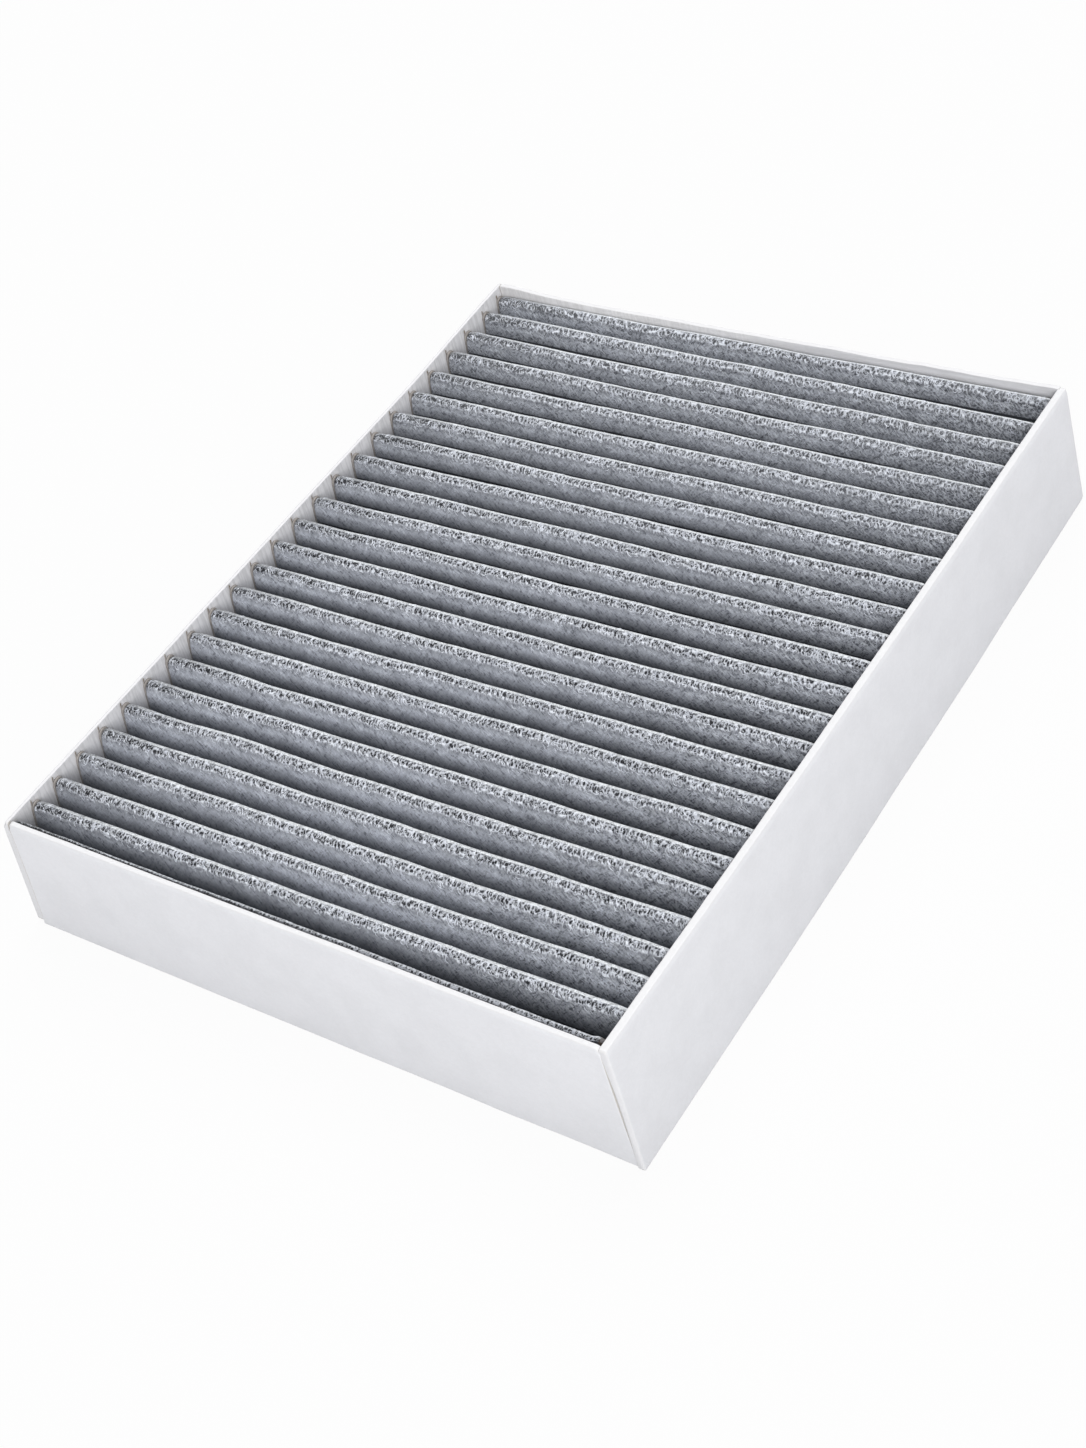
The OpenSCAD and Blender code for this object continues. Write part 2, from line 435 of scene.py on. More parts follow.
def nonwoven_material():
    """Calendered white nonwoven, nearly smooth and matt, with faint cloudy density, short
    flat fibres and a slight tooth. The outer faces darken a little towards the foot, as painted
    shade. The inner faces are streaked from foot to rim; the rear one is greyer with painted
    shade and streaked along its length. Marks on the mesh tint the pressed rim and the glued
    faces in the seams, and paint shade on the left rim's rounded outer edge, along the feet and
    faintly on the cut ends."""
    s = bpy.context.scene.filter_frame
    m = shade("nonwoven")
    place = m("ShaderNodeTexCoord").outputs["Object"]
    clouds = m.noise(place, 90.0, 3.0, 0.55)
    fibres = m.noise(place, 800.0, 4.0, 0.7, 1.0)
    upright = m.noise(m.mapped(place, (1.0, 1.0, 0.08)), 1100.0, 3.0, 0.65)
    lying = m.noise(m.mapped(place, (0.05, 1.0, 1.0)), 600.0, 3.0, 0.6)
    part = m("ShaderNodeSeparateXYZ", {0: place}).outputs
    inside = m.mix(m.ramp(upright, 0.40, 0.62), s.inside, darker(s.inside, 0.84))
    # Painted shade on the rear band's inner face: a greyer copy of the inside colour, streaked
    # along its length.
    shady = [a * b for a, b in zip(s.inside, (0.82, 0.83, 0.86))]
    rear_wall = m.mix(m.ramp(lying, 0.38, 0.62), shady, darker(shady, 0.85))
    inside = m.mix(m.ramp(part[1], INNER_Y - 1 * MM, INNER_Y - 0.5 * MM), inside, rear_wall)
    outside = m.over(s.outside,
                     (m.ramp(clouds, 0.35, 0.7, 0.0, 0.7), darker(s.outside, 0.95)),
                     # Painted shade: the outer faces darken a little towards the foot.
                     (m.ramp(part[2], 0.0, 38 * MM, 0.065, 0.0, kind="LINEAR"), BLACK),
                     (m.attribute("rim"), s.rim),
                     # Painted shade on the left rim's rounded outer edge.
                     (m.attribute("lip_shade"), s.lip_shade),
                     # Painted shade along the feet and faintly on the cut ends and turned end
                     # edges, in the seams' colour.
                     (m.times(m.attribute("foot"), 0.85), s.seam))
    base = m.over(m.mix(m.attribute("inner"), outside, inside),
                  (m.attribute("seam"), s.seam),
                  (m.fade(fibres, 0.3, 0.7, 0.07), (0.4, 0.4, 0.41)))
    normal = m.bump(fibres, 0.05 * MM, 0.6)
    normal = m.bump(clouds, 0.25 * MM, 0.6, normal)
    return m.finish(base, 0.85, normal, **{"Specular IOR Level": 0.25})


class MediumShade(Shade):
    """The material of the folded sheet, from its parts. Everywhere across is the place across
    the filter and down the flat length from the rear edge, both in metres; distance is the
    depth below the nearest fold, and ragged the same with a cloudy outline."""

    def __init__(self):
        super().__init__(bpy.data.materials.new("carbon_medium"))
        self.s = bpy.context.scene.filter_medium
        self.reach = INNER_X - self.s.glue_gap
        self.length = fold_path()[0]["s"][-1]
        self.uv = self("ShaderNodeUVMap", uv_map="sheet").outputs["UV"]
        self.across, self.down = self("ShaderNodeSeparateXYZ", {0: self.uv}).outputs[:2]
        self.distance = self.attribute("from_fold")
        self.patches = self.noise(self.uv, 150.0, 2.0, 0.5)
        cloud = self.math("SUBTRACT", self.noise(self.uv, 330.0, 3.0, 0.6), 0.5)
        swing = self.ramp(self.across, 0.0, 80 * MM, 1.8 * MM, 2.8 * MM)
        self.ragged = self.math("MULTIPLY_ADD", cloud, swing, self.distance)
        self.rear_right = self.times(
            self.ramp(self.across, self.reach - 70 * MM, self.reach, 0.0, 0.34),
            self.fade(self.down, 0.3, 0.7))
        self.dense = self.larger(self.fade(self.down, 0.15, 0.95),
                                 self.ramp(self.across, 0.0, 80 * MM))

    def deeper(self, depth, low, high, to_low=0.0, to_high=1.0):
        """A ramp over a depth, with low and high in millimetres."""
        return self.ramp(depth, low * MM, high * MM, to_low, to_high)

    def slanted(self, degrees, scale):
        """Fine streaks at that angle to the folds."""
        turned = self.mapped(self.uv, (3.2, 1.0, 1.0), math.radians(degrees), "TEXTURE")
        return self.noise(turned, scale, 3.0, 0.65, 1.0)

    def grains_and_net(self):
        """Voronoi cells nearly a millimetre wide, finer in front: black grains about their
        middles and a pale net along their edges. The grains are larger towards the left and in
        a row a little below the fold. The net is thin in the middle of the fold zone, at the
        left end and at the cut edge."""
        across, down, ragged, reach = self.across, self.down, self.ragged, self.reach
        cells = self("ShaderNodeTexVoronoi", {
            "Vector": self.uv, "Randomness": 1.0,
            "Scale": self.ramp(down, 0.0, 0.9, 1120.0, 1400.0, kind="LINEAR")},
                     voronoi_dimensions="2D", feature="F1").outputs["Distance"]
        leftward = self.ramp(across, -reach, -0.6 * reach, 0.23, 0.0)
        row = self.times(self.deeper(ragged, 0.45, 0.75, 0.0, 0.08),
                         self.deeper(ragged, 0.95, 1.15, 1.0, 0.0))
        cells = self.math("SUBTRACT", cells, self.math("ADD", leftward, row))
        net = self.times(self.ramp(cells, 0.52, 0.63),
                         self.larger(self.deeper(ragged, 0.3, 0.7, 1.0, 0.3),
                                     self.deeper(ragged, 0.9, 1.15, 0.3, 1.0)))
        net = self.times(net, self.ramp(across, -reach, 26 * MM - reach, 0.22, 1.0, "LINEAR"))
        net = self.times(net, self.ramp(down, self.length - 3.5 * MM, self.length - 2.5 * MM,
                                        1.0, 0.2))
        return self.fade(cells, 0.355, 0.445), net

    def belt(self):
        """How strong the grains are: a little weaker right at the fold, weaker below the row
        except at the rear, and uneven in wide patches."""
        below = self.larger(self.deeper(self.ragged, 0.95, 1.3, 1.0, 0.68),
                            self.fade(self.down, 0.1, 0.9, 0.95))
        belt = self.times(self.deeper(self.ragged, 0.0, 0.3, 0.7, 1.0), below)
        return self.times(belt, self.ramp(self.patches, 0.3, 0.55, 0.9, 1.0))

    def curled_lines(self):
        """Pale lines along the level curves of a noise."""
        level = self.math("SUBTRACT", self.noise(self.uv, 860.0, 1.5, 0.5, 1.0), 0.5)
        return self.times(self.fade(self.math("ABSOLUTE", level), 0.016, 0.042), 0.8)

    def flank(self, threads, grains):
        """The flanks: pale and dark slanting fibres, dark specks and strokes where the sheet is
        dense, at the rear and towards the right; painted shade at the front left, on the last
        flanks and just below the grains; a little darker towards the right; and painted shade
        that turns black with the depth below the fold."""
        s, across, down = self.s, self.across, self.down
        specks = self.times(grains, self.math("MULTIPLY_ADD", self.rear_right, 1.3, 0.22))
        strokes = self.fade(self.slanted(-42, 1500.0), 0.40, 0.47, 0.78)
        bright = self.ramp(self.slanted(46, 1500.0), 0.53, 0.60)
        # Painted shade at the front left.
        front_left_shade = self.times(self.fade(across, 20 * MM - self.reach, 95 * MM - self.reach,
                                          0.28), self.ramp(down, 1.5, 1.68))
        # Painted shade on the last flanks.
        last = self.times(self.ramp(down, self.length - 77 * MM, self.length - 74 * MM),
                          self.deeper(self.distance, 1.4, 4.0, 0.0, 0.35))
        # Painted shade just below the grains, stronger at the rear and where the sheet is dense.
        depth = self.math("MULTIPLY_ADD", self.fade(down, 0.05, 0.9), 0.08,
                          self.math("MULTIPLY_ADD", self.dense, 0.04, 0.35))
        shaded = self.times(self.deeper(self.distance, 1.6, 3.7, 1.0, 0.0), depth)
        # Painted shade that deepens with the depth below the fold, as a share of the depth where
        # it turns black, weaker at the rear.
        shade_share = self.attribute("shade_share")
        depth_shade = self.times(self.ramp(shade_share, 0.37, 1.0, kind="LINEAR"),
                          self.ramp(down, 0.1, 1.0, 0.40, 0.96))
        return self.over(s.flank,
                         (self.ramp(threads, 0.50, 0.58),
                          [0.35 * a + 0.65 * b for a, b in zip(s.flank, s.fibre)]),
                         (self.fade(threads, 0.40, 0.47, 0.6), s.deep),
                         (self.times(specks, self.dense), s.deep),
                         (self.times(strokes, self.dense), s.deep),
                         (self.times(bright, self.dense), s.fibre),
                         (self.fade(self.patches, 0.36, 0.66, 0.22), s.deep),
                         (self.larger(front_left_shade, last), s.deep),
                         (shaded, BLACK),
                         (self.ramp(across, 0.0, 80 * MM, 0.0, 0.04), s.deep),
                         # Painted shade with the depth below the fold, then a near-black painted
                         # line where the flank turns black.
                         (depth_shade, s.deep),
                         (self.ramp(shade_share, 0.90, 0.97), (0.012, 0.014, 0.02)))

    def fold(self, grains, curls):
        """The fold zone: a tone that lightens with the depth, under the grains and the net."""
        s = self.s
        middle = self.mix(self.deeper(self.ragged, 0.8, 1.4), darker(s.flank, 0.68),
                          darker(s.flank, 1.06))
        shown = self.times(curls, self.deeper(self.ragged, 0.2, 1.2, 0.6, 1.0))
        return self.over(middle, (grains, s.carbon), (shown, s.fibre))

    def crease_highlight(self):
        """A painted highlight: the pale line from the crest's top back, broken by a noise and
        faint at the left.
        """
        behind = self.attribute("behind_fold")
        line = self.times(self.deeper(behind, -0.02, 0.2),
                          self.deeper(behind, 0.9, 1.6, 1.0, 0.0))
        broken = self.larger(
            self.ramp(self.noise(self.uv, 620.0, 2.0, 0.6, 0.6), 0.36, 0.54, 0.52, 1.0),
            self.ramp(self.down, 0.2, 1.1, 0.92, 0.5))
        return self.times(self.times(line, broken), self.ramp(
            self.across, 0.8 * MM - self.reach, 28 * MM - self.reach, 0.25, 1.0, "LINEAR"))

    def lifted(self):
        """How much lighter the rear pleats are, at the fold and again well below it."""
        return self.times(self.fade(self.down, 0.05, 0.9, 0.07), self.larger(
            self.deeper(self.distance, 1.3, 2.0, 1.0, 0.0),
            self.deeper(self.distance, 2.3, 3.2, 0.0, 0.8)))

    def soaked_and_shaded(self):
        """Where hot melt has been taken up by the pleat ends, with painted shade where they meet
        the side bands.
        """
        reach = self.reach
        return self.times(self.larger(
            self.ramp(self.across, reach - 1.7 * MM, reach - 1.0 * MM),
            self.fade(self.across, 0.05 * MM - reach, 0.4 * MM - reach)), 0.8)

    def tucked_shade(self):
        """Painted shade: the dark line where the cut edge lies close against the front band,
        fainter towards the right."""
        return self.times(
            self.ramp(self.down, self.length + 0.5 * MM, self.length + 0.75 * MM),
            self.ramp(self.across, -0.3 * self.reach, 0.6 * self.reach, 0.9, 0.3))


def medium_material():
    """Carbon-laden nonwoven. The fold zone is an open mesh of pale curled fibres over black
    grains, with a painted highlight along the fold line from the crest's top back; the flanks
    are smoother, with fine slanting fibres and cloudy patches, and carry painted shade that
    deepens with the distance from the fold."""
    m = MediumShade()
    grains, net = m.grains_and_net()
    curls = m.larger(m.curled_lines(), net)
    threads = m.math("MULTIPLY_ADD", m.slanted(50, 1500.0), 0.6,
                     m.times(m.slanted(-52, 1350.0), 0.4))
    flank = m.flank(threads, grains)
    grains = m.times(grains, m.belt())
    zone = m.deeper(m.ragged, 1.3, 1.85, 1.0, 0.0)
    fold = m.mix(m.rear_right, m.fold(grains, curls), flank)
    base = m.over(m.mix(zone, flank, fold),
                  # Painted highlight along the fold line from the crest's top back.
                  (m.crease_highlight(), (0.93, 0.965, 1.0)),
                  (m.lifted(), m.s.fibre),
                  # Hot melt in the pleat ends, with painted shade where they meet the side bands.
                  (m.soaked_and_shaded(), (0.055, 0.036, 0.026)),
                  # Painted shade along the cut edge against the front band.
                  (m.tucked_shade(), (0.012, 0.012, 0.014)))
    relief = m.times(m.math("SUBTRACT", curls, grains), zone)
    normal = m.bump(threads, 0.05 * MM, 0.6)
    normal = m.bump(relief, 0.3 * MM, 0.9, normal)
    return m.finish(base, 0.92, normal, **{"Specular IOR Level": 0.2, "Sheen Weight": 0.35,
                                           "Sheen Roughness": 0.35,
                                           "Sheen Tint": (0.93, 0.96, 1.0, 1.0)})


def curl_material():
    """Matt pale fibres, some greyer than others."""
    s = bpy.context.scene.filter_medium
    m = shade("crest_fibre")
    base = m.mix(m.attribute("pale"), darker(s.flank, 0.9), s.fibre)
    return m.finish(base, 0.85, None, **{"Specular IOR Level": 0.25})


def hot_melt_material():
    """Satin greyish brown hot melt with faint streaks, browner at the ends of the tails."""
    s = bpy.context.scene.filter_glue
    m = shade("hot_melt")
    streaks = m.noise(m("ShaderNodeTexCoord").outputs["Object"], 700.0, 2.0, 0.5, 0.6)
    base = m.over(s.tint, (m.ramp(streaks, 0.3, 0.7), darker(s.tint, 1.35)),
                  (m.attribute("burnt"), s.burnt))
    return m.finish(base, 0.5, m.bump(streaks, 0.1 * MM, 0.5))


# The four bands


def band_profile(thickness, upper_edge):
    """A band's section as (outward, height) points, anticlockwise from the inner foot: a
    rectangle with quarter-circle corners, whose outer face leans in over the pressed strip
    just below the rim. Long stretches carry extra points, so that they can bend."""
    s = bpy.context.scene.filter_frame
    radius, edge = s.edge_radius, upper_edge
    turn = np.radians(np.linspace(0, 90, 6))
    round_out, round_up = np.sin(turn), np.cos(turn)
    pressed_z = RIM_Z - s.pressed_height
    full = thickness + s.pressed_depth
    tall = np.array([0.02, 0.1, 0.22, 0.36, 0.5, 0.64, 0.78, 0.9, 0.98])
    lower_out = [full - radius + radius * round_out, radius - radius * round_up]
    outer = [np.full(len(tall), full), radius + (pressed_z - radius) * tall]
    strip_share = np.array([0.06, 0.35, 0.65])
    strip = [full - s.pressed_depth * strip_share,
             pressed_z + (s.pressed_height - edge) * strip_share]
    upper_out = [thickness - edge + edge * round_up, RIM_Z - edge + edge * round_out]
    upper_in = [radius - radius * round_out, RIM_Z - radius + radius * round_up]
    inner = [np.zeros(len(tall)), (RIM_Z - radius - (RIM_Z - 2 * radius) * tall)]
    lower_in = [radius - radius * round_up, radius - radius * round_out]
    runs = [lower_out, outer, strip, upper_out, upper_in, inner, lower_in]
    return np.concatenate([np.array(run) for run in runs], 1).T


def quarter(gap, radius):
    """How far a quarter circle of that radius has still to go at that gap from an end."""
    left = radius - np.minimum(gap, radius)
    return radius - np.sqrt(np.clip(radius**2 - left**2, 0, None))


def band_rings(length, lower, upper, seed, wave=0.0, upper_edge=None, end_edge=None):
    """Stations of the section along a band, as an array of (along, outward, height). Near
    the ends the outer side draws in by a quarter circle of the radius end_edge, and the foot
    rises and the rim drops by quarter circles of the radii in lower and upper, one for each
    end. Low noise makes the faces a little uneven and waves the rim. Also returns the marks
    of the inner face and the rim, of painted shade along the foot and faintly on the cut ends,
    of painted shade on the outer part of a rounded upper edge, and an empty mark for the seams."""
    s = bpy.context.scene.filter_frame
    profile = band_profile(BAND_T, upper_edge or s.edge_radius)
    soft = 0.12 * MM
    ends = np.array([0, 0.06, 0.14, 0.3, 0.5, 0.8, 1.2, 1.7, 2.4, 3.4]) * MM
    along = np.concatenate([ends, np.linspace(5 * MM, length - 5 * MM, 60),
                            length - ends[::-1]])[:, None]
    gap = np.minimum(along, length - along)
    first = along < length / 2
    outward = profile[None, :, 0] * (1 - quarter(gap, end_edge or s.end_edge) / BAND_T)
    outward = outward + quarter(gap, soft) * np.clip(1 - outward / BAND_T, 0, 1)
    height = profile[None, :, 1] + 0 * along
    rise = np.where(first, quarter(gap, lower[0]), quarter(gap, lower[1]))
    drop = np.where(first, quarter(gap, upper[0]), quarter(gap, upper[1]))
    near = 6 * MM
    height = height + rise * np.clip(1 - height / near, 0, 1)
    height = height - drop * np.clip(1 - (RIM_Z - height) / near, 0, 1)
    uneven = smooth_noise(along, height, 22 * MM, seed) * 0.12 * MM
    uneven = uneven + smooth_noise(along, height, 5 * MM, seed + 1) * 0.025 * MM
    outward = outward + uneven * np.clip(gap / (8 * MM), 0, 1)
    ripple = double_noise(along, 0.0, 17 * MM, 5 * MM, 0.3, seed + 2)
    height = height + (0.06 * MM + wave) * ripple * smoothstep(height, 30 * MM, RIM_Z)
    walls = (gap > 0.01 * MM) * 1.0
    outer, level = profile[None, :, 0], profile[None, :, 1]
    marks = {"inner": (outer < 0.1 * MM) * walls,
             "rim": (level > RIM_Z - 0.3 * s.pressed_height) * walls,
             # Painted shade along the foot, and faintly over the cut ends.
             "foot": (level < 0.25 * MM) * walls + 0.15 * (1 - walls),
             # Painted shade on the outer part of a rounded upper edge.
             "lip_shade": (outer > BAND_T - 0.45 * (upper_edge or 0)) * walls
             * (level > RIM_Z - 1.05 * (upper_edge or 0)),
             "seam": 0 * outer * walls}
    marks = {key: value[None] for key, value in marks.items()}
    return np.stack([along + 0 * outward, outward, height], 2), marks


def side_band(name, side, seed, near_corner):
    """A side band on the side with that sign: it spans the whole length, and its ends lie
    flush in the end faces. The foot of the right one reaches forward with the square of the
    depth below the rim. The left one swells by a smoothstep towards its front end, and its rim
    rises by one towards the rear corner. The turned end edges carry the foot's painted shade
    faintly, and the inner face carries the seam's mark where an end band meets it."""
    s = bpy.context.scene.filter_frame
    length = 2 * (INNER_Y + BAND_T)
    rings, marks = band_rings(length, (near_corner, s.lower_corner),
                              (s.upper_corner * 0.6, s.sharp_corner), seed,
                              upper_edge=None if side > 0 else s.left_edge,
                              end_edge=s.turned_edge)
    along, outward, z = rings[..., 0], rings[..., 1], rings[..., 2]
    y = along - length / 2
    if side > 0:
        y = y - s.end_reach * (1 - z / RIM_Z)**2 * smoothstep(along, 25 * MM, 0)
    gap = np.minimum(along, length - along)
    marks["seam"] = marks["inner"] * (gap < BAND_T - 0.05 * MM)[None]
    # Faint painted shade on the turned end edges.
    marks["foot"] = np.maximum(marks["foot"], 0.2 * (gap < 0.5 * MM)[None])
    thick = s.thick_rim if side > 0 else -s.left_rim
    thick = thick * smoothstep(z, 34 * MM, 38 * MM)
    outward = outward - thick * np.clip(1 - outward / BAND_T, 0, 1)
    if side < 0:
        outward = outward + s.swell * np.clip(outward / BAND_T, 0, 1) * smoothstep(
            along, 14 * MM, 0) * smoothstep(z, RIM_Z - 0.6 * MM, RIM_Z - 3 * MM)
        z = z + s.corner_lift * smoothstep(y, INNER_Y - 55 * MM, INNER_Y) * smoothstep(
            z, 15 * MM, RIM_Z)
    points = np.stack([side * (INNER_X + outward), y, z], 2)
    return tubes(name, stand(points)[None], marks)


def end_band(name, end, seed, wave=0.0):
    """An end band at the end with that sign: it sits between the side bands. A shallow gap
    opens at both seams, widest at half height; the inner part of the band stays closed. The
    rear band's rim rises by a smoothstep towards its left end."""
    s = bpy.context.scene.filter_frame
    length = 2 * INNER_X
    upper = (s.upper_corner, s.upper_corner * 1.3) if end < 0 else (s.sharp_corner,) * 2
    rings, marks = band_rings(length, (s.edge_radius, s.edge_radius), upper, seed, wave)
    along, outward, z = rings[..., 0], rings[..., 1], rings[..., 2]
    open_by = 0.6 + 0.4 * np.sin(np.clip(1 - z / RIM_Z, 0, 1) * math.pi)
    open_by = s.seam_gap * open_by * smoothstep(z, RIM_Z, RIM_Z - 1 * MM) * smoothstep(
        z, 0.5 * MM, 2.5 * MM)
    closed = BAND_T - s.seam_depth
    open_by = open_by * smoothstep(outward, closed - 0.1 * MM, closed + 0.2 * MM)
    x = (along - length / 2) * (1 - open_by / INNER_X)
    at_end = np.abs(along - length / 2) > length / 2 - 0.01 * MM
    marks["seam"] = marks["seam"] + at_end + (0.35 * marks["inner"] if end > 0 else 0)
    if end > 0:
        z = z + 0.85 * s.corner_lift * smoothstep(x, 24 * MM - INNER_X, -INNER_X) * smoothstep(
            z, 15 * MM, RIM_Z)
    points = np.stack([x, end * (INNER_Y + outward), z], 2)
    return tubes(name, stand(points)[None], marks)


# The folded sheet


def fold_path():
    """The sheet's middle line in (distance from the rear band, height), followed from the
    rear end: an upright first flank, then for each pleat a crest arc, a falling flank, a
    valley arc and a rising flank, all tangent. The pitch is found by repeating the same step
    as in the construction. Returns arrays with one entry for each point of the path: u, z,
    the upper face's normal (nu, nz), the weight of the crest, the arch of the flank, the
    numbers of the crest and the valley beside it and the length s; and the lengths at which
    the crests and the valleys lie."""
    s = bpy.context.scene.filter_medium
    crest_points, flank_points, valley_points = 9, 7, 7
    mid = s.fold_radius + s.thickness / 2
    top, low = MEDIUM_HIGH.z, MEDIUM_LOW.z
    crest_z, valley_z = top - mid - s.thickness / 2, low + mid + s.thickness / 2
    first = s.glue_gap + s.thickness + s.fold_radius
    cut = 2 * INNER_Y - s.edge_gap - s.thickness / 2
    pitch = (cut - first) / s.pleats
    for _ in range(7):
        lean = math.atan2(pitch / 2, crest_z - valley_z) - math.asin(
            2 * mid / math.hypot(pitch / 2, crest_z - valley_z))
        pitch = (cut + mid * math.cos(lean)
                 - (top - crest_z - mid * math.sin(lean)) * math.tan(lean) - first) / s.pleats
    number = np.arange(s.pleats)[:, None] * 1.0
    crest_u = first + number * pitch
    valley_u = crest_u + pitch / 2
    share_down = np.array([0.05, 0.12, 0.22, 0.36, 0.54, 0.76, 0.94])
    share_up = 1 - share_down[::-1]

    start = np.where(number == 0, math.pi, math.pi - lean)
    over = start + (lean - start) * np.linspace(0, 1, crest_points)
    under = math.pi + lean + (math.pi - 2 * lean) * np.linspace(0, 1, valley_points) \
        + 0 * number
    cu, cz = crest_u + mid * np.cos(over), crest_z + mid * np.sin(over)
    vu, vz = valley_u + mid * np.cos(under), valley_z + mid * np.sin(under)
    end_u = np.append(cu[1:, :1], [[cut]], 0)
    end_z = np.append(cz[1:, :1], [[top]], 0)
    flank = np.ones((s.pleats, flank_points))
    lean_u, lean_z = flank * math.cos(lean), flank * math.sin(lean)
    parts = {
        "u": (cu, cu[:, -1:] + (vu[:, :1] - cu[:, -1:]) * share_down,
              vu, vu[:, -1:] + (end_u - vu[:, -1:]) * share_up),
        "z": (cz, cz[:, -1:] + (vz[:, :1] - cz[:, -1:]) * share_down,
              vz, vz[:, -1:] + (end_z - vz[:, -1:]) * share_up),
        "nu": (np.cos(over), lean_u, -np.cos(under), -lean_u),
        "nz": (np.sin(over), lean_z, -np.sin(under), lean_z),
        "crest": (over * 0 + 1, flank * smoothstep(1 - share_down, 0, 1), under * 0,
                  flank * smoothstep(share_up, 0, 1)),
        "arch": (over * 0, flank * np.sin(math.pi * share_down**0.8), under * 0,
                 flank * np.sin(math.pi * (1 - share_up)**0.8)),
        "kc": (number + over * 0, number * flank, number + under * 0, (number + 1) * flank),
        "kv": (number + over * 0, number * flank, number + under * 0, number * flank),
    }
    path = {key: np.concatenate(part, 1).ravel() for key, part in parts.items()}
    lead_z = low + (crest_z - low) * np.append(0, share_up)
    lead = np.zeros(len(lead_z))
    before = {"u": lead + first - mid, "z": lead_z, "nu": lead - 1, "nz": lead,
              "crest": lead + 1, "arch": lead, "kc": lead, "kv": lead}
    after = {"u": [cut], "z": [top], "nu": [-math.cos(lean)], "nz": [math.sin(lean)],
             "crest": [1.0], "arch": [0.0], "kc": [s.pleats], "kv": [s.pleats - 1]}
    path = {key: np.concatenate([before[key], path[key], after[key]]) for key in path}
    path["s"] = np.append(0, np.cumsum(np.hypot(np.diff(path["u"]), np.diff(path["z"]))))
    each = crest_points + valley_points + 2 * flank_points
    crest = len(lead) + np.arange(s.pleats) * each + crest_points // 2
    valley = crest + (crest_points + valley_points) // 2 + flank_points
    return path, path["s"][crest], path["s"][valley]


def drift(across, u):
    """How far a fold lies towards the rear: a cubic through the four values along each side
    (Lagrange's form), blended linearly from side to side."""
    s = bpy.context.scene.filter_medium
    along = 1 - np.asarray(u) / INNER_Y
    far = 0.8           # of the half length and of the half width, where the values hold
    places = np.array([-far, -0.27, 0.27, far])
    weights = [np.prod([(along - b) / (a - b) for b in places if b != a], 0) for a in places]
    left = sum(w * v for w, v in zip(weights, s.drift[:4]))
    right = sum(w * v for w, v in zip(weights, s.drift[4:]))
    return left + (right - left) * (np.asarray(across) / INNER_X / (2 * far) + 0.5)


def fold_shift(row, across):
    """The drift of each point of the path: whole at the crests and half at the valleys, faint
    at the first crest and the cut edge. The front crest lies back a little more, and so does
    the right end of the one behind it."""
    s = bpy.context.scene.filter_medium
    tied = np.where((row["kc"] == 0) | (row["kc"] == s.pleats), 0.2, 1.0)
    right_end = smoothstep(np.asarray(across), -0.3 * INNER_X, INNER_X)
    back = s.last_crest * row["crest"] * ((row["kc"] == s.pleats - 1)
                                          + (row["kc"] == s.pleats - 2) * right_end)
    return drift(across, row["u"]) * (0.5 + 0.5 * row["crest"]) * tied + back


def from_folds(s, folds):
    """Distance of each length s from the nearest fold, and the same signed, positive behind
    the fold towards the rear end and fading to nothing halfway to the next one."""
    offset = folds[None, :] - s[:, None]
    nearest = np.abs(offset).argmin(1)
    signed = offset[np.arange(len(s)), nearest]
    return np.abs(signed), signed * smoothstep(np.abs(signed), 12 * MM, 5 * MM)


